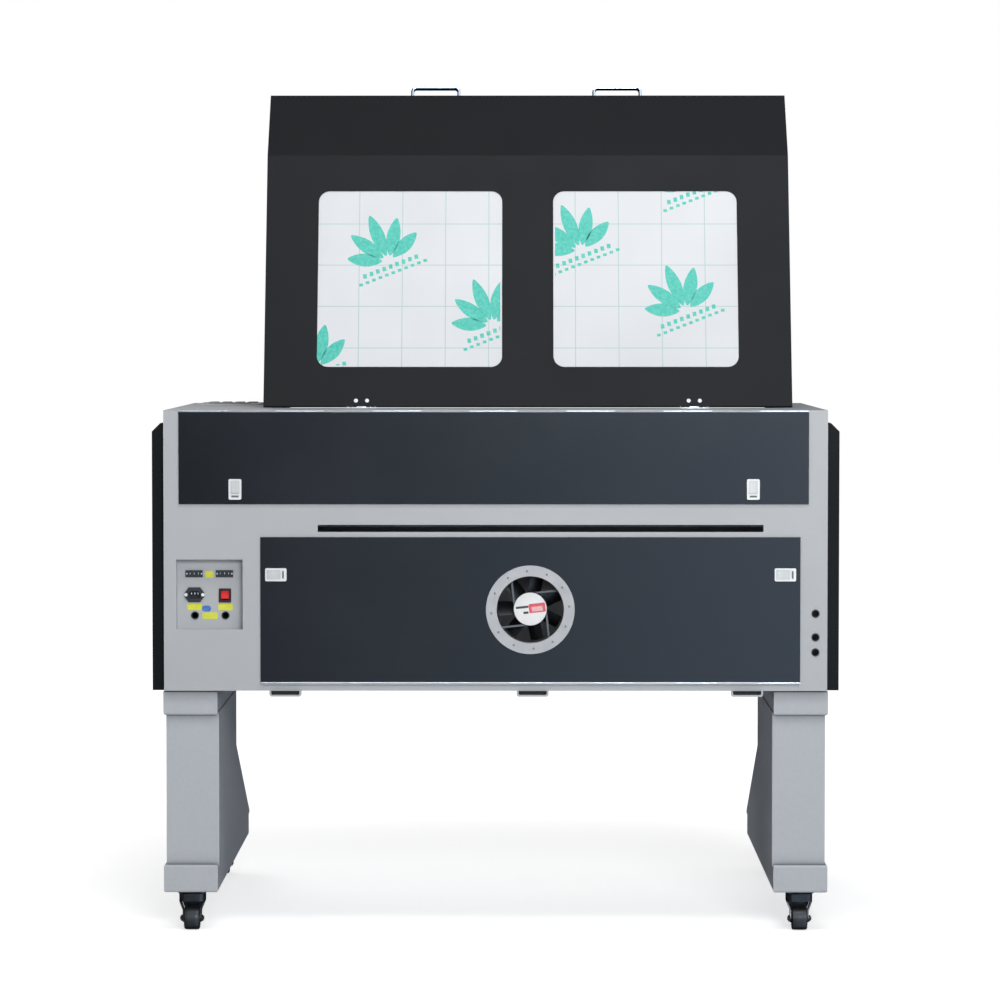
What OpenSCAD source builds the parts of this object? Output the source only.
// Flat-bed carbon dioxide laser engraving machine on two leg stands.
// Millimetres. Z is up, the floor is z = 0, the operator stands at -Y and the rear is +Y.
// The lid is modelled open, as it stands on its gas struts.

/* [Cabinet] */
// Width of the cabinet
cab_w = 1430; // [1300:10:1750]
// Depth of the cabinet
cab_d = 1000; // [940:10:1250]
// Height of the cabinet from its floor to the flat deck
cab_h = 605; // [560:1:720]
// Thickness of the cabinet sheet
sheet = 2; // [1.5:0.5:3]
// Depth of the sloping front part of the deck
slope_run = 170; // [120:5:230]
// Angle of the sloping front part of the deck
slope_angle = 24; // [12:1:32]
// Width of the control deck beside the lid
control_w = 200; // [180:5:260]
// Width of the deck strip on the other side of the lid
far_w = 60; // [45:5:80]
// Depth of the tube bay behind the work chamber
bay_d = 205; // [185:5:240]
// Height of the tube bay above its shelf
bay_h = 222; // [200:2:260]

/* [Stands and casters] */
// Height of a leg stand
stand_h = 439; // [300:1:600]
// Length of a leg stand from front to rear
stand_d = 980; // [800:10:1000]
// Width of a leg stand's column
stand_w = 114; // [90:1:130]
// Depth of a leg stand's column under the cap beam
column_d = 540; // [400:10:640]
// Length of the column's straight front edge below the cap beam
shin_h = 122; // [60:2:180]
// Height of the cap beam
cap_h = 54; // [40:1:70]
// Height of the foot beam
foot_h = 60; // [40:1:80]
// Wall of a leg stand
stand_wall = 3; // [2:0.5:4]
// Total height of a caster
caster_h = 85; // [78:1:100]
// Diameter of a caster wheel
wheel_d = 50; // [40:1:56]
// Width of a caster wheel
wheel_w = 33; // [24:1:38]
// Distance from the swivel axis to the wheel axle
trail = 16; // [10:1:20]

/* [Lid] */
// Distance from the rear face to the lid's hinge line
hinge_back = 250; // [220:5:270]
// Angle to which the lid stands open
lid_open = 73; // [60:1:85]
// Height of the lid's rim
rim_h = 12; // [8:1:20]
// Length of the lid's front lip
lip_h = 44; // [36:1:60]
// Width and height of a lid window
window_w = 411; // [300:1:430]
// Gap between the two lid windows
window_gap = 114; // [60:2:160]
// Corner radius of a lid window
window_r = 25; // [10:1:40]
// Distance from the lid's rear edge to the windows
window_back = 90; // [60:1:110]

/* [Rear doors] */
// Width of the upper rear door
upper_door_w = 1356; // [900:1:1356]
// Height of the upper rear door
upper_door_h = 198; // [190:1:202]
// Width of the lower rear door
lower_door_w = 1163; // [900:1:1163]
// Height of the lower rear door
lower_door_h = 313; // [260:1:315]
// Depth of the folded edge of a door
door_fold = 12; // [8:1:16]
// How far a door laps over the edge of its opening
door_lap = 12; // [9:1:15]

/* [Exhaust fan] */
// Inside diameter of the exhaust port
port_d = 145; // [120:1:150]
// Outside diameter of the port's flange
port_flange_d = 191; // [170:1:196]
// Length of the port's duct
duct_l = 22; // [16:1:40]
// Diameter of the fan's hub
hub_d = 73; // [50:1:80]
// Number of fan blades
blade_count = 7; // [5:1:9]
// Depth of the fan blades
blade_l = 26; // [18:1:34]

/* [Pass-through slots] */
// Width of the front and rear slots
slot_w = 960; // [800:5:1000]
// Height of the front and rear slots
slot_h = 15.5; // [10:0.5:24]

/* [Power recess] */
// Width of the power recess
recess_w = 143; // [130:1:160]
// Height of the power recess
recess_h = 151; // [140:1:160]
// Depth of the power recess
recess_d = 25; // [20:1:40]

/* [Motion system] */
// Working travel of the head across the machine
travel_x = 900; // [700:10:900]
// Working travel of the gantry from front to rear
travel_y = 600; // [500:10:600]
// Height of the gantry beam
beam_h = 45; // [40:1:50]
// Depth of the gantry beam
beam_w = 40; // [36:1:46]
// Length of the lens tube
lens_l = 100; // [90:1:104]
// Diameter of the laser tube
tube_d = 80; // [55:1:80]
// Length of the laser tube
tube_l = 1250; // [1000:10:1260]

/* [Hidden] */
$fn = 64;

// Clearances: a running fit on a pin, and open air between moving pieces
fit = 0.05;
air = 0.3;
over = 1;

// Cabinet planes; the rear fittings stand proud, so the cabinet sits a little forward
rear_proud = 14;
rear = cab_d / 2 - rear_proud / 2;
front = rear - cab_d;
bottom = caster_h + stand_h;
top = bottom + cab_h;
half_w = cab_w / 2;
inner_w = half_w - sheet;
knee = front + slope_run;
bay_y = rear - bay_d;
bay_z = top - sheet - bay_h;

// Lid: the hinge line, and the lid's edges over the deck opening
hinge_y = rear - hinge_back;
hinge_z = top + 4.6;
lid_x = [-half_w + far_w, half_w - control_w];
lid_mid = (lid_x[0] + lid_x[1]) / 2;
lid_gap = 1;
lid_sheet = 2;
lid_rear = hinge_y + 2.5;
lid_front = front - 4;
lid_lap = 15;
opening_x = [lid_x[0] + lid_lap, lid_x[1] - lid_lap];
opening_y = [front + 20, lid_rear - lid_lap];

// Bed and slots share one centre line and one height
bed_mid = lid_mid - 27;
bed_z = bottom + 343;
bed_frame_w = slot_w + 20;
bed_y = [front + 107, bay_y - 13];
divider_x = lid_x[1] - 3;

// Doors lie on the rear face, just clear of the hinge leaf
leaf_t = 1;
door_in = rear + leaf_t + air;
door_out = door_in + sheet;
knuckle_r = 1.9;
pin_r = 1;
knuckle_y = door_in + 1.4;
knuckle_out = 2;
upper_door_x = 4;
upper_door_top = top - 4;
upper_knuckle_z = upper_door_top + knuckle_out;
lower_door_x = lid_mid - 5;
lower_door_bottom = bottom + 19;
lower_knuckle_z = lower_door_bottom - knuckle_out;
knuckle_count = 13;
fan_z = lower_door_bottom + lower_door_h / 2;

// Gantry and head, parked behind the middle of the bed
rail_w = 15;
rail_h = 14;
rail_z = bed_z + 49;
support_w = 36;
support_h = 30;
left_support_x = divider_x - support_w;
rail_x = [bed_mid - bed_frame_w / 2 - 53, divider_x - support_w / 2];
rail_y = [bay_y - 33 - travel_y - 95, bay_y - 33];
gantry_y = rail_y[1] - 135;
beam_z = rail_z + rail_h + 13;
head_x = bed_mid + 197;
optic_y = gantry_y - beam_w / 2 - 32;
optic_z = beam_z + beam_h + 33;
mirror_x = rail_x[0] - 35;
lens_r = 13;
lens_tip_z = bed_z + 16;

// Gas struts: lower pivot, upper pivot with the lid closed and with it open
strut_foot = [hinge_y - 433, top - 62];
strut_arm = [-150, -12];
strut_head = [
    hinge_y + strut_arm[0] * cos(lid_open) + strut_arm[1] * sin(lid_open),
    hinge_z - strut_arm[0] * sin(lid_open) + strut_arm[1] * cos(lid_open)
];
strut_run = [strut_head[0] - strut_foot[0], strut_head[1] - strut_foot[1]];
strut_l = norm(strut_run);
strut_tilt = atan2(strut_run[1], strut_run[0]);
strut_x = [opening_x[0] + 16, opening_x[1] - 16];
strut_body_r = 9;
strut_body_l = 262;
strut_rod_r = 4;
strut_pin_r = 4;

// Stands and casters
beam_wide = stand_w + 3;
stand_x = half_w + 3 - beam_wide / 2;
stand_y = about((front + rear) / 2, stand_d / 2);
caster_inset = 48;
caster_y = [stand_y[0] + caster_inset, stand_y[1] - caster_inset];
axle_r = 4;
fork_top = caster_h - 6;

// Tray under the bed
tray_x = about(lower_door_x, 578);
tray_h = 9;
tray_t = 1.2;
pull_w = 69;
pull_drop = 12;
pull_proud = 10;

// Laser tube
tube_r = tube_d / 2;
tube_y = rear - 98;
tube_mid = 15;
clamp_x = [tube_mid - 0.31 * tube_l, tube_mid + 0.31 * tube_l];

// ---- Helpers -------------------------------------------------------------

// The span around a centre, and the span between two offsets from a place
function about(c, half) = [c - half, c + half];
function between(c, low, high) = [c + low, c + high];

// A box between two values on each axis
module slab(x, y, z) {
    translate([x[0], y[0], z[0]]) cube([x[1] - x[0], y[1] - y[0], z[1] - z[0]]);
}

// A (y, z) outline drawn out between two x values
module along_x(x) {
    translate([x[0], 0, 0]) rotate([90, 0, 90]) linear_extrude(x[1] - x[0]) children();
}

// An (x, z) outline drawn out between two y values
module along_y(y) {
    translate([0, y[1], 0]) rotate([90, 0, 0]) linear_extrude(y[1] - y[0]) children();
}

module rod_x(x, y, z, r) {
    translate([x[0], y, z]) rotate([0, 90, 0]) cylinder(h = x[1] - x[0], r = r);
}

module rod_y(x, y, z, r) {
    translate([x, y[0], z]) rotate([-90, 0, 0]) cylinder(h = y[1] - y[0], r = r);
}

module rod_z(x, y, z, r) {
    translate([x, y, z[0]]) cylinder(h = z[1] - z[0], r = r);
}

module rounded_rectangle(w, h, r) {
    square([w - 2 * r, h], center = true);
    square([w, h - 2 * r], center = true);
    for (x = [-1, 1], z = [-1, 1])
        translate([x * (w / 2 - r), z * (h / 2 - r)]) circle(r);
}

// The deck's outline moved out by d: where it bends, and its height on the slope
function knee_at(d) = knee - d * tan(slope_angle / 2);
function slope_z(y, d) = top + d / cos(slope_angle) - (knee - y) * tan(slope_angle);

// A strip that follows the deck, between the offsets d0 and d1
module deck_strip(y0, y1, d0, d1) {
    polygon([
        [y1, top + d0], [y1, top + d1], [knee_at(d1), top + d1],
        [y0, slope_z(y0, d1)], [y0, slope_z(y0, d0)], [knee_at(d0), top + d0]
    ]);
}

// The cabinet's outline under the deck sheet
module side_outline(y0, y1, z0) {
    polygon([
        [y0, z0], [y1, z0], [y1, top - sheet],
        [knee_at(-sheet), top - sheet], [y0, slope_z(y0, -sheet)]
    ]);
}

// Turns what is drawn for a closed lid about the hinge to the open angle
module lid_opened() {
    translate([0, hinge_y, hinge_z]) rotate([-lid_open, 0, 0])
        translate([0, -hinge_y, -hinge_z]) children();
}

// Puts what is drawn along +Y from a strut's lower pivot into the open strut's line
module strut_placed(x) {
    translate([x, strut_foot[0], strut_foot[1]]) rotate([strut_tilt, 0, 0]) children();
}

// ---- Cabinet -------------------------------------------------------------

module slot_cut(y) {
    along_y(y) translate([bed_mid, bed_z + slot_h / 2]) rounded_rectangle(slot_w, slot_h, 2);
}

module door_opening(mid, w, z) {
    slab([mid - w / 2 + door_lap, mid + w / 2 - door_lap], [rear - sheet - over, rear + over],
         [z[0] + door_lap, z[1] - door_lap]);
}

recess_x = half_w - 98.5;
recess_z = bottom + 132.5;
cable_x = -half_w + 25.5;
cable_z = [bottom + 167, bottom + 116, bottom + 83.5];
cable_r = 6.5;
grommet_wall = 1.2;

module rear_panel() {
    color("lightgray") difference() {
        slab([-half_w, half_w], [rear - sheet, rear], [bottom, top - sheet]);
        door_opening(upper_door_x, upper_door_w, [upper_door_top - upper_door_h, upper_door_top]);
        door_opening(lower_door_x, lower_door_w,
                     [lower_door_bottom, lower_door_bottom + lower_door_h]);
        slot_cut([rear - sheet - over, rear + over]);
        slab([recess_x - recess_w / 2, recess_x + recess_w / 2],
             [rear - sheet - over, rear + over], [recess_z, recess_z + recess_h]);
        slab([tray_x[0] - air, tray_x[1] + air], [rear - sheet - over, rear + over],
             [bottom - over, bottom + sheet + tray_h + 2 * air]);
        for (z = cable_z)
            rod_y(cable_x, [rear - sheet - over, rear + over], z, cable_r + grommet_wall);
    }
}

module side_panel() {
    side_outline(front + sheet, rear - sheet, bottom);
}

module side_panel_left() {
    color("lightgray") along_x([inner_w, half_w]) side_panel();
}

module side_panel_right() {
    color("lightgray") along_x([-half_w, -inner_w]) side_panel();
}

module floor_pan() {
    color("lightgray")
        slab([-inner_w, inner_w], [front + sheet, rear - sheet], [bottom, bottom + sheet]);
}

module front_panel() {
    color("lightgray") difference() {
        slab([-half_w, half_w], [front, front + sheet], [bottom, slope_z(front, -sheet)]);
        slot_cut([front - over, front + sheet + over]);
    }
}

// The deck's sheet, flat over the rear and bent down along the front slope
module top_deck() {
    color("lightgray") difference() {
        along_x([-half_w, half_w]) deck_strip(front, rear, -sheet, 0);
        slab(opening_x, opening_y, [bottom, top + over]);
    }
}

// Wall between the work chamber and the electronics bay, stepped under the tube bay
module divider_wall() {
    color("silver") along_x([divider_x, divider_x + sheet]) difference() {
        side_outline(front + sheet, rear - sheet, bottom + sheet);
        translate([bay_y, bay_z - sheet]) square([bay_d, bay_h + 2 * sheet]);
    }
}

// Front wall and shelf of the tube bay, one folded sheet with the beam's port
module tube_bay_wall() {
    port_r = 12;
    color("silver") difference() {
        along_x([-inner_w, inner_w]) union() {
            translate([bay_y, bay_z - sheet]) square([bay_d - sheet, sheet]);
            translate([bay_y, bay_z - sheet]) square([sheet, bay_h + sheet]);
        }
        rod_y(mirror_x, [bay_y - over, bay_y + sheet + over], optic_z, port_r);
    }
}

// Service cover: a pan with a sloping top edge and two banks of pressed louvres
cover_proud = 26;
cover_slope = 18;
cover_t = 1.5;
cover_y = [front + 60, rear - 14];
cover_z = [bottom, top - 28];
louvre_l = 130;
louvre_r = 5;
louvre_pitch = 20;
louvre_rows = 12;

module cover_section(inset, z0) {
    polygon([
        [0, z0], [cover_proud - inset, z0],
        [cover_proud - inset, cover_z[1] - cover_slope - inset * 0.4],
        [cover_proud - cover_slope - inset * 0.4, cover_z[1] - inset], [0, cover_z[1] - inset]
    ]);
}

// One louvre's hood: the upper outer quarter of a rod lying on the cover's face
module louvre(y, z, r, grow) {
    intersection() {
        rod_y(cover_proud - cover_t, [y - louvre_l / 2 - grow, y + louvre_l / 2 + grow], z, r);
        slab([cover_proud - 2 * louvre_r, cover_proud + louvre_r],
             [y - louvre_l, y + louvre_l], [z - (grow < 0 ? over : 0), z + louvre_r]);
    }
}

module side_cover() {
    bank_y = [cover_y[0] + 190, cover_y[1] - 190];
    louvre_z = [for (row = [0 : louvre_rows - 1]) cover_z[0] + 128 + row * louvre_pitch];
    difference() {
        union() {
            along_y(cover_y) cover_section(0, cover_z[0]);
            for (y = bank_y, z = louvre_z) louvre(y, z, louvre_r, 0);
        }
        along_y([cover_y[0] + cover_t, cover_y[1] - cover_t])
            cover_section(cover_t, cover_z[0] + cover_t);
        for (y = bank_y, z = louvre_z) louvre(y, z, louvre_r - cover_t, -cover_t);
    }
}

module side_cover_left() {
    color("dimgray") translate([half_w, 0, 0]) side_cover();
}

module side_cover_right() {
    color("dimgray") translate([-half_w, 0, 0]) mirror([1, 0, 0]) side_cover();
}

// ---- Stands and casters ----------------------------------------------------

// A box along Y with every edge rounded, centred on x = 0
module round_beam(w, y, z, r) {
    z_mid = (z[0] + z[1]) / 2;
    intersection() {
        along_y(y) translate([0, z_mid]) rounded_rectangle(w, z[1] - z[0], r);
        along_x([-w, w]) translate([(y[0] + y[1]) / 2, z_mid])
            rounded_rectangle(y[1] - y[0], z[1] - z[0], r);
    }
}

// Side view of the boot-shaped column between two heights, with its edges moved in
module column_outline(z, inset) {
    y = [stand_y[1] - column_d, stand_y[1] - column_back];
    toe_y = stand_y[0] + column_back + inset * 1.3;
    polygon([
        [toe_y, z[0]], [y[1] - inset, z[0]], [y[1] - inset, z[1]], [y[0] + inset, z[1]],
        [y[0] + inset, bottom - cap_h - shin_h], [toe_y, caster_h + foot_h]
    ]);
}

// Stand: cap and foot beams with a hollow column between them, set in towards the middle
column_back = 9;
column_in = 4;
beam_round = 5;

module stand() {
    cap_z = [bottom - cap_h, bottom];
    foot_z = [caster_h, caster_h + foot_h];
    column_z = [foot_z[1] - beam_round, cap_z[0] + beam_round];
    column_x = about(-column_in, stand_w / 2);
    wall = [stand_wall, -stand_wall];
    difference() {
        union() {
            round_beam(beam_wide, stand_y, cap_z, beam_round);
            round_beam(beam_wide, stand_y, foot_z, beam_round);
            along_x(column_x) column_outline(column_z, 0);
        }
        for (z = [cap_z, foot_z])
            slab(about(0, beam_wide / 2) + wall, stand_y + wall, z + wall);
        along_x(column_x + wall)
            column_outline([foot_z[1] - stand_wall - over, cap_z[0] + stand_wall + over],
                           stand_wall);
    }
}

module stand_left() {
    color("silver") translate([stand_x, 0, 0]) stand();
}

module stand_right() {
    color("silver") mirror([1, 0, 0]) translate([stand_x, 0, 0]) stand();
}

// Top plates and swivel races of the four casters
module caster_plates() {
    plate_w = 62;
    plate_t = 3;
    color("dimgray") for (x = [-1, 1], y = caster_y)
        translate([x * stand_x, y, 0]) {
            difference() {
                translate([0, 0, caster_h - plate_t]) linear_extrude(plate_t)
                    rounded_rectangle(plate_w, plate_w, 6);
                for (u = [-1, 1], v = [-1, 1])
                    rod_z(u * 24, v * 24, [caster_h - plate_t - over, caster_h + over], 3.2);
            }
            rod_z(0, 0, [fork_top + air, caster_h - plate_t], 22);
        }
}

// One cheek of the fork: sheet joggled in from the crown to the wheel, tapering to the axle
module caster_cheek(inside, sheet_t, crown_x, crown_z) {
    wheel_r = wheel_d / 2;
    intersection() {
        along_y([-crown_x, 2 * crown_x]) polygon([
            [inside, 0], [inside + sheet_t, 0], [inside + sheet_t, wheel_r + 17],
            [crown_x, crown_z - 2], [crown_x, crown_z + over],
            [crown_x - sheet_t, crown_z + over], [crown_x - sheet_t, crown_z - 1],
            [inside, wheel_r + 18]
        ]);
        along_x([0, 2 * crown_x]) union() {
            polygon([
                [-15, crown_z + over], [15, crown_z + over],
                [trail + 9, wheel_r], [trail - 9, wheel_r]
            ]);
            translate([trail, wheel_r]) circle(9);
        }
    }
}

// Fork: a pressed crown, two cheeks that run in to the wheel, and the axle bolt with its nuts
module caster_fork() {
    crown_w = 56;
    crown_h = 16.5;
    sheet_t = 2.5;
    cheek_x = wheel_w / 2 + 1.5;
    wheel_r = wheel_d / 2;
    crown_z = fork_top - crown_h;
    difference() {
        translate([0, 0, crown_z]) linear_extrude(crown_h)
            rounded_rectangle(crown_w, crown_w, 12);
        translate([0, 0, crown_z - over]) linear_extrude(crown_h - sheet_t + over)
            rounded_rectangle(crown_w - 2 * sheet_t, crown_w - 2 * sheet_t, 12 - sheet_t);
    }
    caster_cheek(cheek_x, sheet_t, crown_w / 2, crown_z);
    mirror([1, 0, 0]) caster_cheek(cheek_x, sheet_t, crown_w / 2, crown_z);
    rod_x(about(0, cheek_x + sheet_t + 5.5), trail, wheel_r, axle_r);
    for (side = [-1, 1])
        translate([side > 0 ? cheek_x + sheet_t : -cheek_x - sheet_t - 3.5, trail, wheel_r])
            rotate([0, 90, 0]) cylinder(h = 3.5, r = 7, $fn = 6);
}

// Wheel: a crowned tread on a narrower hub, bored for the axle
module caster_wheel() {
    wheel_r = wheel_d / 2;
    translate([0, trail, wheel_r]) rotate([0, 90, 0]) difference() {
        union() {
            rotate_extrude() polygon([
                [0, -wheel_w / 2 + 2], [wheel_r * 0.6, -wheel_w / 2 + 2],
                [wheel_r * 0.64, -wheel_w / 2], [wheel_r - 2.5, -wheel_w / 2],
                [wheel_r - 0.6, -wheel_w / 2 + 2], [wheel_r, -wheel_w / 4],
                [wheel_r, wheel_w / 4], [wheel_r - 0.6, wheel_w / 2 - 2],
                [wheel_r - 2.5, wheel_w / 2], [wheel_r * 0.64, wheel_w / 2],
                [wheel_r * 0.6, wheel_w / 2 - 2], [0, wheel_w / 2 - 2]
            ]);
            cylinder(h = wheel_w + 2, r = 8, center = true);
        }
        cylinder(h = wheel_w + 4, r = axle_r + fit, center = true);
    }
}

// side and end choose the caster: +1 is left or rear, -1 is right or front
module caster_placed(side, end) {
    translate([side * stand_x, caster_y[end > 0 ? 1 : 0], 0]) children();
}

module caster_fork_rear_left() { color("dimgray") caster_placed(1, 1) caster_fork(); }
module caster_fork_rear_right() { color("dimgray") caster_placed(-1, 1) caster_fork(); }
module caster_fork_front_left() { color("dimgray") caster_placed(1, -1) caster_fork(); }
module caster_fork_front_right() { color("dimgray") caster_placed(-1, -1) caster_fork(); }
module caster_wheel_rear_left() { color("black") caster_placed(1, 1) caster_wheel(); }
module caster_wheel_rear_right() { color("black") caster_placed(-1, 1) caster_wheel(); }
module caster_wheel_front_left() { color("black") caster_placed(1, -1) caster_wheel(); }
module caster_wheel_front_right() { color("black") caster_placed(-1, -1) caster_wheel(); }

// ---- Power recess and ports -------------------------------------------------

pan_t = 1.5;
recess_back = rear - sheet - recess_d;
inlet_at = [half_w - 64, bottom + 205.8];
inlet_hole = [28, 21];
rocker_at = [half_w - 130, bottom + 204.3];
rocker_hole = [20.4, 23.4];
aux_at = [[half_w - 63.5, bottom + 251.3], [half_w - 129, bottom + 251.3]];
aux_hole = [30, 11];
hose_at = [[half_w - 65, bottom + 161], [half_w - 131, bottom + 161]];
hose_r = 6.4;

// A pan folded behind the rear panel, with holes for what it carries
module power_recess() {
    half_p = recess_w / 2;
    color("gainsboro") difference() {
        slab([recess_x - half_p - pan_t, recess_x + half_p + pan_t],
             [recess_back - pan_t, rear - sheet],
             [recess_z - pan_t, recess_z + recess_h + pan_t]);
        slab([recess_x - half_p, recess_x + half_p], [recess_back, rear],
             [recess_z, recess_z + recess_h]);
        for (hole = [[inlet_at, inlet_hole], [rocker_at, rocker_hole],
                     [aux_at[0], aux_hole], [aux_at[1], aux_hole]])
            slab([hole[0][0] - hole[1][0] / 2, hole[0][0] + hole[1][0] / 2],
                 [recess_back - pan_t - over, recess_back + over],
                 [hole[0][1] - hole[1][1] / 2, hole[0][1] + hole[1][1] / 2]);
        for (at = hose_at)
            rod_y(at[0], [recess_back - pan_t - over, recess_back + over], at[1],
                  hose_r + grommet_wall);
    }
}

// Two panel sockets for the chiller and the air pump, each with three contact slots
module aux_sockets() {
    color("black") for (at = aux_at) difference() {
        union() {
            slab([at[0] - 18.7, at[0] + 18.7], [recess_back, recess_back + 2.5],
                 [at[1] - 7.6, at[1] + 7.6]);
            slab([at[0] - 14.8, at[0] + 14.8], [recess_back - 14, recess_back],
                 [at[1] - 5.3, at[1] + 5.3]);
        }
        for (x = [-9, 0, 9])
            slab([at[0] + x - 1.2, at[0] + x + 1.2], [recess_back - 8, recess_back + 3],
                 [at[1] - 3.2, at[1] + 3.2]);
    }
}

// Mains inlet: eight-sided flange, keyed well with three blades, and a fuse drawer below
module power_inlet() {
    well_w = 24.5;
    well_h = 16.5;
    well_d = 17;
    blade_d = 11.5;
    color("black") translate([inlet_at[0], recess_back, inlet_at[1]]) {
        difference() {
            union() {
                along_y([0, 3]) polygon([
                    [-21.6, -4], [-12.5, -16], [12.5, -16], [21.6, -4],
                    [21.6, 4], [12.5, 16], [-12.5, 16], [-21.6, 4]
                ]);
                slab([-13.6, 13.6], [-20, 0], [-10.2, 10.2]);
            }
            along_y([3 - well_d, 3 + over]) polygon([
                [-well_w / 2, -well_h / 2], [well_w / 2, -well_h / 2],
                [well_w / 2, well_h / 2 - 5], [well_w / 2 - 5, well_h / 2],
                [-well_w / 2 + 5, well_h / 2], [-well_w / 2, well_h / 2 - 5]
            ]);
        }
        for (pin = [[-7, 0], [0, 4], [7, 0]])
            slab([pin[0] - 1, pin[0] + 1], [3 - well_d - over, 3 - well_d + blade_d],
                 [pin[1] - 2, pin[1] + 2]);
    }
}

module rocker_bezel() {
    color("darkred") translate([rocker_at[0], recess_back, rocker_at[1]]) difference() {
        union() {
            along_y([0, 2.5]) rounded_rectangle(26.8, 30.2, 2);
            slab([-10, 10], [-16, 0], [-11.5, 11.5]);
        }
        slab([-8.5, 8.5], [-14, 3], [-10, 10]);
    }
}

// Rocker cap with its two faces meeting at a shallow angle, tipped to one side
rocker_tip = 11;
rocker_y = recess_back - 5;

module power_rocker() {
    color("red") translate([rocker_at[0], rocker_y, rocker_at[1]]) rotate([rocker_tip, 0, 0])
        {
            along_x([-8, 8]) polygon([
                [-4, -4], [-4, 4], [3, 8.4], [7, 8.4], [5, 0], [7, -8.4], [3, -8.4]
            ]);
            rod_x([-8.4, 8.4], 0, 0, 1.5);
        }
}

grommet_lip = 2.2;

module grommet(at, y, t, r) {
    difference() {
        union() {
            rod_y(at[0], [y - t, y], at[1], r + grommet_wall);
            rod_y(at[0], [y, y + 1.6], at[1], r + grommet_lip);
        }
        rod_y(at[0], [y - t - over, y + 2 + over], at[1], r);
    }
}

// Rubber grommets: two hose ports in the recess, three cable ports in the rear panel
module hose_grommets() {
    color("black") {
        for (at = hose_at) grommet(at, recess_back, pan_t + 2, hose_r);
        for (z = cable_z) grommet([cable_x, z], rear, sheet + 2, cable_r);
    }
}

// ---- Lid --------------------------------------------------------------------

// Drawn closed. The skin lies rim_h above the deck with a lip folded down at the front
lid_top = lid_gap + rim_h;
lip_z = slope_z(front, lid_gap) - lip_h;

module lid_section() {
    polygon([
        [lid_rear, top + lid_gap], [lid_rear, top + lid_top], [knee_at(lid_top), top + lid_top],
        [lid_front, slope_z(lid_front, lid_top)], [lid_front, lip_z],
        [lid_front + lid_sheet, lip_z], [lid_front + lid_sheet, slope_z(front, lid_gap) + 1],
        [front + 1, slope_z(front + 1, lid_gap)], [knee_at(lid_gap), top + lid_gap]
    ]);
}

module lid_hollow() {
    inner = lid_top - lid_sheet;
    polygon([
        [lid_rear - lid_sheet, top - over], [lid_rear - lid_sheet, top + inner],
        [knee_at(inner), top + inner],
        [lid_front + lid_sheet, slope_z(lid_front + lid_sheet, inner)],
        [lid_front + lid_sheet, lip_z - over], [front + 2, slope_z(front, 0) - lip_h],
        [knee, top - over]
    ]);
}

window_x = [lid_mid - (window_w + window_gap) / 2, lid_mid + (window_w + window_gap) / 2];
window_y = lid_rear - window_back - window_w / 2;
pane_t = 3;
pane_lap = 15;

module window_outline(lap) {
    for (x = window_x)
        translate([x, window_y]) rounded_rectangle(window_w + 2 * lap, window_w + 2 * lap,
                                                   window_r + lap / 2);
}

module lid_shell() {
    color("dimgray") lid_opened() difference() {
        along_x(lid_x) lid_section();
        along_x([lid_x[0] + lid_sheet, lid_x[1] - lid_sheet]) lid_hollow();
        translate([0, 0, top]) linear_extrude(lid_top + over) window_outline(0);
        for (x = hinge_x)
            slab(about(x, hinge_half + over), [hinge_y - hinge_r - over, lid_rear + over],
                 [top, top + lid_top - lid_sheet]);
    }
}

// Two acrylic panes held against the inside of the skin
module lid_windows() {
    color("orange") lid_opened() translate([0, 0, top + lid_top - lid_sheet - pane_t])
        linear_extrude(pane_t) window_outline(pane_lap);
}

// Bow handle of flat bar, t thick and b broad, across x = 0 and standing along +Y
module bow_handle(w, reach, t, b) {
    bend = 9;
    edge = 2.5;
    for (side = [-1, 1]) {
        along_y([0, reach - t / 2 - bend]) translate([side * (w - t) / 2, 0])
            rounded_rectangle(t, b, edge);
        translate([side * ((w - t) / 2 - bend), reach - t / 2 - bend, 0])
            rotate([0, 0, side > 0 ? 0 : 90]) rotate_extrude(angle = 90, $fn = 32)
                translate([bend, 0]) rounded_rectangle(t, b, edge);
    }
    along_x(about(0, (w - t) / 2 - bend)) translate([reach - t / 2, 0])
        rounded_rectangle(t, b, edge);
}

handle_w = 112;
handle_reach = 31;
handle_x = [lid_mid - 204, lid_mid + 210];
handle_z = lip_z + 26;

module lid_handles() {
    color("silver") lid_opened() for (x = handle_x)
        translate([x, lid_front, handle_z]) rotate([180, 0, 0])
            bow_handle(handle_w, handle_reach, 6.5, 15);
}

hinge_x = [lid_mid - 368, lid_mid + 368];
hinge_r = 3;
hinge_pin_r = 1.5;
hinge_half = 30;
hinge_mid = 10;

// Lid-side leaves under the skin, each carried down to the hinge's two outer knuckles
module lid_hinge_leaves() {
    leaf_z = [top + lid_top - lid_sheet - 1.6, top + lid_top - lid_sheet];
    color("silver") lid_opened() for (x = hinge_x) difference() {
        union() {
            slab(about(x, hinge_half), [hinge_y - 30, hinge_y - 1], leaf_z);
            for (side = [-1, 1]) {
                span = side > 0 ? [x + hinge_mid + air, x + hinge_half]
                                : [x - hinge_half, x - hinge_mid - air];
                rod_x(span, hinge_y, hinge_z, hinge_r);
                slab(span, [hinge_y - hinge_r, hinge_y - 1], [hinge_z, leaf_z[1]]);
            }
        }
        rod_x([x - hinge_half - over, x + hinge_half + over], hinge_y, hinge_z,
              hinge_pin_r + air);
    }
}

// ---- Hinge halves that stay on the cabinet ------------------------------------

function knuckle_x(mid, w, i) = mid - w / 2 + w * i / knuckle_count;

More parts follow.
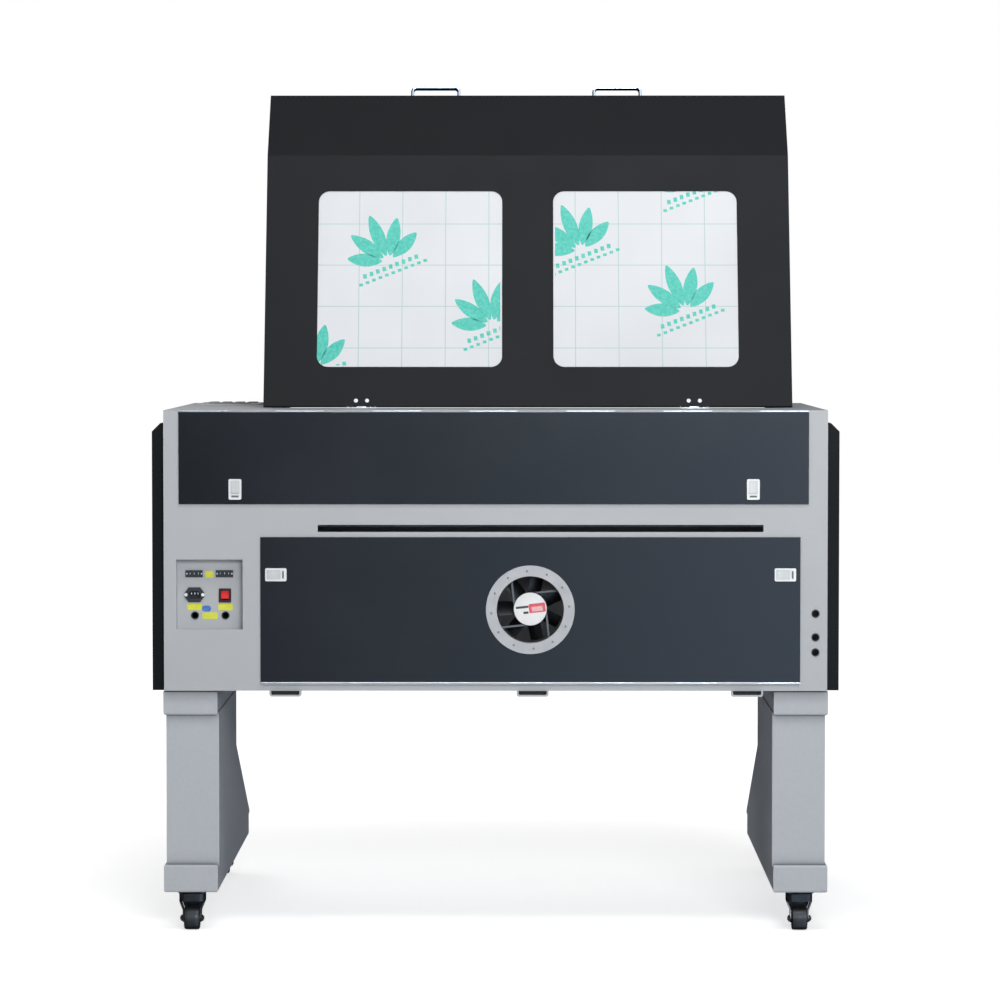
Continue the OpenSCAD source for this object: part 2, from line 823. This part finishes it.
// Leaf, every other knuckle and the pin of a piano hinge; side is +1 with the leaf above
module piano_leaf(mid, w, z, side) {
    leaf_edge = z - side * 2.7;
    leaf_far = leaf_edge - side * 11;
    for (i = [0 : 2 : knuckle_count - 1]) {
        x = [knuckle_x(mid, w, i) + air, knuckle_x(mid, w, i + 1) - air];
        rod_x(x, knuckle_y, z, knuckle_r);
        slab(x, [rear, rear + leaf_t], [min(leaf_edge, z), max(leaf_edge, z)]);
    }
    slab([mid - w / 2, mid + w / 2], [rear, rear + leaf_t],
         [min(leaf_edge, leaf_far), max(leaf_edge, leaf_far)]);
    rod_x([mid - w / 2 + air, mid + w / 2 - air], knuckle_y, z, pin_r);
}

module strut_bracket(x, side) {
    z = strut_foot[1];
    y = strut_foot[0];
    rod_x(side > 0 ? [x - 5, x + 8] : [x - 8, x + 5], y, z, strut_pin_r);
}

module hinge_bases() {
    color("silver") {
        piano_leaf(upper_door_x, upper_door_w, upper_knuckle_z, 1);
        piano_leaf(lower_door_x, lower_door_w, lower_knuckle_z, -1);
        for (x = hinge_x) {
            slab(about(x, hinge_half), [hinge_y + hinge_r + air, hinge_y + 26],
                 [top, top + leaf_t]);
            slab(about(x, hinge_mid), [hinge_y + 1, hinge_y + hinge_r + air],
                 [top, top + leaf_t]);
            slab(about(x, hinge_mid), [hinge_y + 1, hinge_y + hinge_r - 0.4], [top, hinge_z]);
            rod_x([x - hinge_mid, x + hinge_mid], hinge_y, hinge_z, hinge_r);
            rod_x([x - hinge_half, x + hinge_half], hinge_y, hinge_z, hinge_pin_r);
        }
        strut_bracket(strut_x[1], 1);
        slab([strut_x[1] + 8, divider_x], about(strut_foot[0], 9), about(strut_foot[1], 9));
        strut_bracket(strut_x[0], -1);
        slab([strut_x[0] - 13, strut_x[0] - 8], about(strut_foot[0], 9),
             [strut_foot[1] - 9, top - sheet]);
        slab([strut_x[0] - 30, strut_x[0] - 13], about(strut_foot[0], 9),
             [top - sheet - 3, top - sheet]);
    }
}

// Cylinders of the two gas struts, drawn along +Y from the lower pivot
module strut_cylinders() {
    eye_r = 8;
    color("dimgray") for (x = strut_x) strut_placed(x) difference() {
        union() {
            rod_x([-4.5, 4.5], 0, 0, eye_r);
            rod_y(0, [5, strut_body_l], 0, strut_body_r);
        }
        rod_x([-strut_body_r - over, strut_body_r + over], 0, 0, strut_pin_r + fit);
        rod_y(0, [18, strut_body_l - 8], 0, strut_body_r - 2);
        rod_y(0, [18, strut_body_l + over], 0, strut_rod_r + air);
        for (side = [-1, 1])
            slab(side > 0 ? [4.5, strut_body_r + over] : [-strut_body_r - over, -4.5],
                 [-strut_body_r, eye_r + 5], [-strut_body_r - over, strut_body_r + over]);
    }
}

module strut_rods() {
    color("silver") for (x = strut_x) strut_placed(x) difference() {
        union() {
            rod_y(0, [strut_body_l - 14, strut_l - 5], 0, strut_rod_r);
            rod_x([-5, 5], strut_l, 0, 8);
        }
        rod_x([-6, 6], strut_l, 0, strut_pin_r + fit);
    }
}

// ---- Rear doors ---------------------------------------------------------------

// A pan: skin on the outside, edges folded into the opening, and its own knuckles
module door_pan(mid, w, z, hinge_z_at, side) {
    fold_x = [mid - w / 2 + door_lap + 3, mid + w / 2 - door_lap - 3];
    fold_z = [z[0] + door_lap + 3, z[1] - door_lap - 3];
    fold_t = 1.5;
    edge = side > 0 ? z[1] : z[0];
    slab([mid - w / 2, mid + w / 2], [door_in, door_out], z);
    difference() {
        slab(fold_x, [door_in - door_fold, door_in], fold_z);
        slab(fold_x + [fold_t, -fold_t], [door_in - door_fold - over, door_in + over],
             fold_z + [fold_t, -fold_t]);
    }
    for (i = [1 : 2 : knuckle_count - 2]) {
        x = [knuckle_x(mid, w, i) + air, knuckle_x(mid, w, i + 1) - air];
        difference() {
            union() {
                rod_x(x, knuckle_y, hinge_z_at, knuckle_r);
                slab(x, [door_in, door_out], [min(edge, hinge_z_at), max(edge, hinge_z_at)]);
            }
            rod_x(x + [-over, over], knuckle_y, hinge_z_at, pin_r + air);
        }
    }
}

module upper_door() {
    color("black") door_pan(upper_door_x, upper_door_w,
                            [upper_door_top - upper_door_h, upper_door_top],
                            upper_knuckle_z, 1);
}

module lower_door() {
    color("black") difference() {
        door_pan(lower_door_x, lower_door_w,
                 [lower_door_bottom, lower_door_bottom + lower_door_h], lower_knuckle_z, -1);
        rod_y(lower_door_x, [door_in - over, door_out + over], fan_z, port_d / 2 + 2);
    }
}

// Plane latch drawn flat at the origin: w across, h along its lever, standing along +Y
latch_t = 2.5;
lever_gap = 0.6;

function lever_size(w, h) = [w - 9, h * 0.62];
function lever_low(w, h) = h / 2 - 4 - h * 0.62;

module latch_housing(w, h) {
    size = lever_size(w, h);
    low = lever_low(w, h);
    difference() {
        along_y([0, latch_t + 1]) rounded_rectangle(w, h, 3);
        slab([-size[0] / 2 - lever_gap, size[0] / 2 + lever_gap], [1, latch_t + 2],
             [low - lever_gap, low + size[1] + lever_gap]);
        slab([-size[0] / 2, size[0] / 2], [1.8, latch_t + 2],
             [low - 8, low - lever_gap - 2.5]);
    }
    slab([-size[0] / 2 + 0.8, size[0] / 2 - 0.8], [1.8, latch_t + 0.7],
         [low - 7.2, low - lever_gap - 3.3]);
}

module latch_lever(w, h) {
    size = lever_size(w, h);
    low = lever_low(w, h);
    pivot_r = 1.1;
    slab([-size[0] / 2, size[0] / 2], [1.4, 1.4 + 2 * pivot_r],
         [low, low + size[1] - pivot_r]);
    rod_x([-size[0] / 2, size[0] / 2], 1.4 + pivot_r, low + size[1] - pivot_r, pivot_r);
    slab([-size[0] / 2 + 2, size[0] / 2 - 2], [1.4 + 2 * pivot_r, 1.4 + 2 * pivot_r + 0.8],
         [low + 1.5, low + 4]);
}

upper_latch = [27.5, 44.3];
lower_latch = [28, 46];
upper_latch_at = [[half_w - 154.5, upper_door_top - 166], [-half_w + 160.5, upper_door_top - 166]];
lower_latch_at = [[lower_door_x + 548, lower_door_bottom + 232],
                  [lower_door_x - 549, lower_door_bottom + 232]];

module latch_placed(at, turn) {
    translate([at[0], door_out, at[1]]) rotate([0, turn, 0]) children();
}

module upper_latches() {
    color("silver") for (at = upper_latch_at)
        latch_placed(at, 0) latch_housing(upper_latch[0], upper_latch[1]);
}

module lower_latches() {
    color("silver") for (at = lower_latch_at)
        latch_placed(at, 90) latch_housing(lower_latch[0], lower_latch[1]);
}

module latch_lever_upper_left() {
    color("white") latch_placed(upper_latch_at[0], 0) latch_lever(upper_latch[0], upper_latch[1]);
}

module latch_lever_upper_right() {
    color("white") latch_placed(upper_latch_at[1], 0) latch_lever(upper_latch[0], upper_latch[1]);
}

module latch_lever_lower_left() {
    color("white") latch_placed(lower_latch_at[0], 90) latch_lever(lower_latch[0], lower_latch[1]);
}

module latch_lever_lower_right() {
    color("white") latch_placed(lower_latch_at[1], 90) latch_lever(lower_latch[0], lower_latch[1]);
}

// ---- Exhaust fan: drawn about the port's axis, +Y out of the machine -------------

port_r = port_d / 2;
flange_t = 3;
frame_l = blade_l + 16;
hub_r = hub_d / 2;
shaft_r = 4;

module fan_placed() {
    translate([lower_door_x, door_out, fan_z]) rotate([-90, 0, 0]) children();
}

// Port flange and the duct that passes the door
module fan_ring() {
    color("gray") fan_placed() difference() {
        union() {
            cylinder(h = flange_t, r = port_flange_d / 2);
            translate([0, 0, -duct_l]) cylinder(h = duct_l + 1, r = port_r + 1.8);
        }
        translate([0, 0, -duct_l - over])
            cylinder(h = duct_l + flange_t + 2 * over, r = port_r);
    }
}

// Fan frame: a ring behind the duct, four struts that touch the motor's rim, and the shaft
module fan_frame() {
    strut_w = 4;
    ring_r = port_r + 4;
    color("black") fan_placed() translate([0, 0, -duct_l - frame_l]) {
        difference() {
            union() {
                cylinder(h = frame_l, r = ring_r);
                translate([0, 0, frame_l - 4]) cylinder(h = 4, r = port_r + 14);
            }
            translate([0, 0, -over]) cylinder(h = frame_l + 2 * over, r = port_r + 1);
        }
        intersection() {
            cylinder(h = frame_l, r = ring_r - over);
            for (i = [0 : 3]) rotate([0, 0, 90 * i + 6])
                slab([hub_r - strut_w - 1, hub_r - 1], [-ring_r, 0], [frame_l - 8, frame_l - 3]);
        }
        translate([0, 0, frame_l - 10]) cylinder(h = 9, r = hub_r);
        translate([0, 0, 3]) cylinder(h = frame_l - 6, r = shaft_r);
    }
}

// Cambered blade along +X: part of a shell whose axis is radial, cut to the tip circle
module fan_blade(root, tip) {
    camber_r = 40;
    blade_t = 1.8;
    low = 1;
    half_chord = [blade_l * 0.54, blade_l / 2 - low];
    to_axis = sqrt(pow(camber_r, 2) - pow(norm(half_chord), 2)) / norm(half_chord);
    axis_at = [half_chord[1] * to_axis, blade_l / 2 - half_chord[0] * to_axis];
    intersection() {
        difference() {
            rod_x([root - 8, tip + over], axis_at[0], axis_at[1], camber_r);
            rod_x([root - 9, tip + 2 * over], axis_at[0], axis_at[1], camber_r - blade_t);
        }
        slab([root - 9, tip + over], about(0, half_chord[0]), [low, blade_l - low]);
        cylinder(h = blade_l, r = tip);
    }
}

// Rotor: a hub cup and its blades, free on the motor's shaft
module fan_rotor() {
    cup_r = hub_r - 3;
    color("black") fan_placed() translate([0, 0, -duct_l - frame_l + 4]) difference() {
        union() {
            cylinder(h = blade_l, r = cup_r);
            for (i = [0 : blade_count - 1]) rotate([0, 0, 360 / blade_count * i])
                fan_blade(cup_r, port_r - 3);
        }
        translate([0, 0, -over]) cylinder(h = blade_l + 2 * over, r = shaft_r + fit);
    }
}

// ---- Tube bay -------------------------------------------------------------------

// Sealed glass tube with a narrow neck and a metal cap at each end
module laser_tube() {
    neck_r = tube_r * 0.45;
    color("lightcyan") translate([tube_mid - tube_l / 2, tube_y, optic_z]) rotate([0, 90, 0])
        rotate_extrude() polygon([
            [0, 0], [neck_r * 0.8, 0], [neck_r * 0.8, 14], [neck_r, 14], [neck_r, 50],
            [tube_r - 6, 54], [tube_r, 62], [tube_r, tube_l - 62], [tube_r - 6, tube_l - 54],
            [neck_r, tube_l - 50], [neck_r, tube_l - 14], [neck_r * 0.8, tube_l - 14],
            [neck_r * 0.8, tube_l], [0, tube_l]
        ]);
}

// Two ring clamps on pedestals, and the bracket of the first mirror
module tube_mounts() {
    color("gray") {
        for (x = clamp_x) {
            difference() {
                union() {
                    rod_x([x - 12, x + 12], tube_y, optic_z, tube_r + 7);
                    slab([x - 12, x + 12], [tube_y - 26, tube_y + 26],
                         [bay_z + 6, optic_z - tube_r * 0.5]);
                    slab([x - 24, x + 24], [tube_y - 45, tube_y + 45], [bay_z, bay_z + 6]);
                    for (side = [-1, 1])
                        slab([x - 12, x + 12],
                             about(tube_y + side * (tube_r + 10), 7), about(optic_z, 7));
                }
                rod_x([x - 13, x + 13], tube_y, optic_z, tube_r + air);
            }
        }
        slab([mirror_x - 22, mirror_x + 18], [tube_y - 20, tube_y + 30], [bay_z, bay_z + 5]);
        slab([mirror_x - 12, mirror_x + 12], [tube_y + 16, tube_y + 24],
             [bay_z + 5, optic_z - 16]);
        translate([mirror_x, tube_y + 6, optic_z]) rotate([0, 0, -45])
            slab([-20, 20], [4, 12], [-18, 18]);
        slab([mirror_x - 12, mirror_x + 12], [tube_y + 10, tube_y + 24],
             [optic_z - 24, optic_z - 14]);
    }
}

// ---- Electronics bay --------------------------------------------------------------

bay_x = [divider_x + sheet, inner_w];

module laser_power_supply() {
    size = [92, 190, 150];
    at = [(bay_x[0] + bay_x[1]) / 2, front + 330];
    color("silver") difference() {
        slab([at[0] - size[0] / 2, at[0] + size[0] / 2], [at[1] - size[1] / 2, at[1] + size[1] / 2],
             [bottom + sheet, bottom + sheet + size[2]]);
        for (i = [0 : 8])
            slab([at[0] + size[0] / 2 - 2, at[0] + size[0] / 2 + over],
                 about(at[1] - 60 + i * 15, 3),
                 [bottom + sheet + 30, bottom + sheet + size[2] - 30]);
    }
}

// Controller box with a row of terminal blocks, on the electronics side of the wall
module motion_controller() {
    y = [front + 430, front + 610];
    z = [bottom + 200, bottom + 320];
    color("darkgray") {
        slab([bay_x[0], bay_x[0] + 34], y, z);
        for (i = [0 : 4])
            slab([bay_x[0] + 34, bay_x[0] + 44], about(y[0] + 22 + i * 34, 13),
                 between(z[0], 8, 20));
    }
}

// ---- Motion system ------------------------------------------------------------------

// Both Y rails on their supports, with the bearing blocks of the drive shaft
shaft_at = [bay_y - 20, rail_z + 26];
drive_r = 5;
block_x = [[rail_x[0] - 10, rail_x[0] + 10], [rail_x[1] - 10, rail_x[1] + 10]];

module y_rails() {
    color("silver") {
        for (x = rail_x) {
            slab(about(x, support_w / 2), [rail_y[0], bay_y],
                 [rail_z - support_h, rail_z]);
            slab(about(x, rail_w / 2), rail_y, [rail_z, rail_z + rail_h]);
        }
        for (y = [rail_y[0] + 30, (rail_y[0] + rail_y[1]) / 2, rail_y[1] - 30])
            slab([-inner_w, rail_x[0] - support_w / 2], about(y, 30), [rail_z - 18, rail_z - 8]);
        for (x = block_x) difference() {
            slab(x, about(shaft_at[0], 13), [rail_z, shaft_at[1] + 13]);
            rod_x(x + [-over, over], shaft_at[0], shaft_at[1], drive_r + fit);
        }
    }
}

// Cross shaft that drives both belts, with a pulley at each end and one for the motor
motor_x = bed_mid + bed_frame_w / 2 + 9;

module drive_shaft() {
    color("silver") {
        rod_x([block_x[0][0] - 3, block_x[1][1] + 3], shaft_at[0], shaft_at[1], drive_r);
        for (x = [block_x[0][1] + 3, block_x[1][0] - 15]) pulley([x, x + 12], 10);
        pulley([motor_x + 47, motor_x + 55], 15);
    }
}

module pulley(x, r) {
    rod_x([x[0], x[0] + 1.5], shaft_at[0], shaft_at[1], r);
    rod_x([x[1] - 1.5, x[1]], shaft_at[0], shaft_at[1], r);
    rod_x(x, shaft_at[0], shaft_at[1], r - 2);
}

module y_drive_motor() {
    size = 54;
    at = [bay_y - 2 - size / 2, rail_z - 14];
    color("dimgray") {
        difference() {
            slab([motor_x, motor_x + 45], about(at[0], size / 2), about(at[1], size / 2));
            for (side = [-1, 1], up = [-1, 1])
                slab([motor_x + 4, motor_x + 40],
                     side > 0 ? [at[0] + size / 2 - 4, at[0] + size / 2 + over]
                              : [at[0] - size / 2 - over, at[0] - size / 2 + 4],
                     up > 0 ? [at[1] + size / 2 - 4, at[1] + size / 2 + over]
                            : [at[1] - size / 2 - over, at[1] - size / 2 + 4]);
        }
        rod_x([motor_x + 45, motor_x + 57], at[0], at[1], 3.2);
        rod_x([motor_x + 47, motor_x + 55], at[0], at[1], 8);
        slab([motor_x + 45, left_support_x + 24], about(at[0], 18),
             [rail_z - support_h - 5, rail_z - support_h]);
    }
}

// Beam on its two saddle blocks, with the X rail, the X motor and the second mirror
module gantry_beam() {
    block_w = 32;
    color("silver") {
        for (x = rail_x) difference() {
            slab(about(x, block_w / 2), about(gantry_y, 35), [rail_z + 4, beam_z]);
            slab(about(x, rail_w / 2 + 0.5), about(gantry_y, 36),
                 [rail_z, rail_z + rail_h + 0.5]);
        }
        difference() {
            slab([rail_x[0] - block_w / 2, rail_x[1] + block_w / 2],
                 about(gantry_y, beam_w / 2), [beam_z, beam_z + beam_h]);
            slab([rail_x[0] - block_w / 2 - over, rail_x[1] + block_w / 2 + over],
                 about(gantry_y, beam_w / 2 - 3), [beam_z + 3, beam_z + beam_h - 3]);
        }
        slab(about(bed_mid, travel_x / 2 + 42), about(gantry_y, 7),
             [beam_z + beam_h, beam_z + beam_h + 8]);
        slab([rail_x[1] - 26, rail_x[1] + 16], about(gantry_y, 21),
             [beam_z + beam_h, beam_z + beam_h + 40]);
        rod_x([rail_x[1] - 38, rail_x[1] - 26], gantry_y, beam_z + beam_h + 20, 7);
        slab([mirror_x - 20, rail_x[0] - block_w / 2 + 8], [optic_y - 18, gantry_y + beam_w / 2 - 2],
             [beam_z, beam_z + 8]);
        slab([mirror_x - 20, mirror_x - 10], [optic_y - 18, optic_y + 10],
             [beam_z + 8, optic_z - 12]);
        translate([mirror_x, optic_y, optic_z]) rotate([0, 0, 45])
            slab([-18, 18], [-14, -6], [-18, 18]);
        slab([mirror_x - 20, mirror_x - 4], [optic_y - 14, optic_y - 4],
             [optic_z - 26, optic_z - 12]);
    }
}

// Carriage on the X rail with its face plate, the third mirror's housing and the lens ring
module head_carriage() {
    plate_y = [gantry_y - beam_w / 2 - 10, gantry_y - beam_w / 2 - 4];
    rail_top = beam_z + beam_h + 8;
    ring_z = [optic_z - 82, optic_z - 58];
    color("gray") difference() {
        union() {
            slab(about(head_x, 30), [plate_y[1], gantry_y + 16], [beam_z + beam_h + 2, rail_top + 14]);
            slab(about(head_x, 30), plate_y, [beam_z - 24, optic_z + 18]);
            slab(about(head_x, 18), [optic_y - 18, plate_y[0]], [optic_z - 18, optic_z + 18]);
            rod_z(head_x, optic_y, ring_z, lens_r + 6);
            slab(about(head_x, 10), [optic_y + lens_r + 3, plate_y[0]], ring_z);
        }
        slab(about(head_x, 31), about(gantry_y, 7.5), [beam_z + beam_h, rail_top + 0.5]);
        rod_z(head_x, optic_y, [ring_z[0] - over, ring_z[1] + over], lens_r + air);
        rod_z(head_x, optic_y, [optic_z - 19, optic_z], 6);
        rod_x([head_x - 19, head_x], optic_y, optic_z, 6);
        translate([head_x, optic_y, optic_z]) rotate([0, 45, 0])
            slab([-40, 40], [-20, 20], [15, 50]);
    }
}

// Lens tube with its nozzle, bored through for the beam and the air jet
module lens_tube() {
    nozzle_h = 15;
    color("silver") translate([head_x, optic_y, lens_tip_z]) difference() {
        union() {
            translate([0, 0, nozzle_h]) cylinder(h = lens_l - nozzle_h, r = lens_r);
            cylinder(h = nozzle_h, r1 = 4, r2 = lens_r);
            translate([0, 0, lens_l - 8]) cylinder(h = 5, r = lens_r + 2);
        }
        translate([0, 0, -over]) cylinder(h = lens_l + 2 * over, r = 2.5);
    }
}

// ---- Bed and tray --------------------------------------------------------------------

// Rim, knife bars under the comb, and the two beams that carry the bed from wall to wall
rim_w = 18;
comb_h = 12;

module bed_frame() {
    x = [bed_mid - bed_frame_w / 2, bed_mid + bed_frame_w / 2];
    bar_count = 5;
    pitch = (bed_frame_w - 2 * rim_w) / (bar_count + 1);
    color("silver") {
        difference() {
            slab(x, bed_y, [bed_z - 30, bed_z]);
            slab(x + [rim_w, -rim_w], bed_y + [rim_w, -rim_w], [bed_z - 31, bed_z + over]);
        }
        for (i = [1 : bar_count])
            slab(about(x[0] + rim_w + i * pitch, 1.5), bed_y + [rim_w, -rim_w],
                 [bed_z - 30, bed_z - comb_h]);
        for (y = [bed_y[0] + 110, bed_y[1] - 110])
            slab([-inner_w, divider_x], about(y, 15), [bed_z - 50, bed_z - 30]);
    }
}

module honeycomb_core() {
    color("gainsboro")
        slab(about(bed_mid, bed_frame_w / 2 - rim_w),
             bed_y + [rim_w, -rim_w], [bed_z - comb_h, bed_z]);
}

// Shallow sliding tray under the bed, with three cupped pulls hanging below its lip
pull_x = [lower_door_x + 528, lower_door_x - 5, lower_door_x - 467];
pull_wall = 4;
pull_round = 5;

module debris_tray() {
    z = bottom + sheet;
    y = [front + 68, rear];
    color("lightgray") {
        difference() {
            slab(tray_x, y, [z, z + tray_h]);
            slab(tray_x + [tray_t, -tray_t], y + [tray_t, -sheet],
                 [z + tray_t, z + tray_h + over]);
        }
        slab(tray_x, [rear - sheet, rear], [bottom, z + 0.5]);
        for (x = pull_x) difference() {
            along_y([rear - sheet, rear + pull_proud]) translate([x, bottom])
                rounded_rectangle(pull_w, 2 * pull_drop, pull_round);
            along_y([rear, rear + pull_proud + over]) translate([x, bottom])
                rounded_rectangle(pull_w - 2 * pull_wall, 2 * (pull_drop - pull_wall),
                                  pull_round - 2);
            slab(about(x, pull_w), [rear - sheet - over, rear + pull_proud + over],
                 [bottom, bottom + pull_drop + over]);
        }
    }
}

// ---- Control deck ----------------------------------------------------------------------

deck_mid = half_w - control_w / 2;
stop_y = front + 75;
stop_travel = 5;
collar_h = 9;
stem_r = 9;

module on_slope(y) {
    translate([deck_mid, y, slope_z(y, 0)]) rotate([slope_angle, 0, 0]) children();
}

// Keypad and display module on the deck, and the stop button's collar on the slope
module control_panel() {
    w = 140;
    y = [knee + 60, knee + 270];
    color("dimgray") {
        difference() {
            slab(about(deck_mid, w / 2), y, [top, top + 3]);
            slab(about(deck_mid, 48), [y[1] - 84, y[1] - 20], [top + 1.8, top + 4]);
        }
        for (row = [0 : 3], col = [0 : 3])
            slab(about(deck_mid - 45 + col * 30, 11), about(y[0] + 26 + row * 24, 8),
                 [top + 3, top + 3.8]);
        on_slope(stop_y) difference() {
            cylinder(h = collar_h, r = 17);
            translate([0, 0, 1]) cylinder(h = collar_h, r = stem_r + air);
        }
    }
}

// Mushroom head and its stem, which sinks into the collar
module stop_button() {
    color("red") on_slope(stop_y) translate([0, 0, stop_travel + 1 + air]) {
        cylinder(h = collar_h, r = stem_r);
        translate([0, 0, collar_h - 1]) rotate_extrude() polygon([
            [0, 0], [19, 0], [20, 1.5], [20, 5], [17, 9], [11, 11.5], [0, 12.5]
        ]);
    }
}

rear_panel();
side_panel_left();
side_panel_right();
floor_pan();
front_panel();
top_deck();
divider_wall();
tube_bay_wall();
side_cover_left();
side_cover_right();
stand_left();
stand_right();
caster_plates();
power_recess();
aux_sockets();
power_inlet();
rocker_bezel();
hose_grommets();
hinge_bases();
laser_tube();
tube_mounts();
laser_power_supply();
motion_controller();
y_rails();
y_drive_motor();
drive_shaft();
bed_frame();
honeycomb_core();
control_panel();
stop_button();
lid_shell();
lid_windows();
lid_handles();
lid_hinge_leaves();
strut_cylinders();
strut_rods();
upper_door();
lower_door();
upper_latches();
lower_latches();
latch_lever_upper_left();
latch_lever_upper_right();
latch_lever_lower_left();
latch_lever_lower_right();
fan_ring();
fan_frame();
fan_rotor();
power_rocker();
gantry_beam();
head_carriage();
lens_tube();
debris_tray();
caster_fork_rear_left();
caster_fork_rear_right();
caster_fork_front_left();
caster_fork_front_right();
caster_wheel_rear_left();
caster_wheel_rear_right();
caster_wheel_front_left();
caster_wheel_front_right();
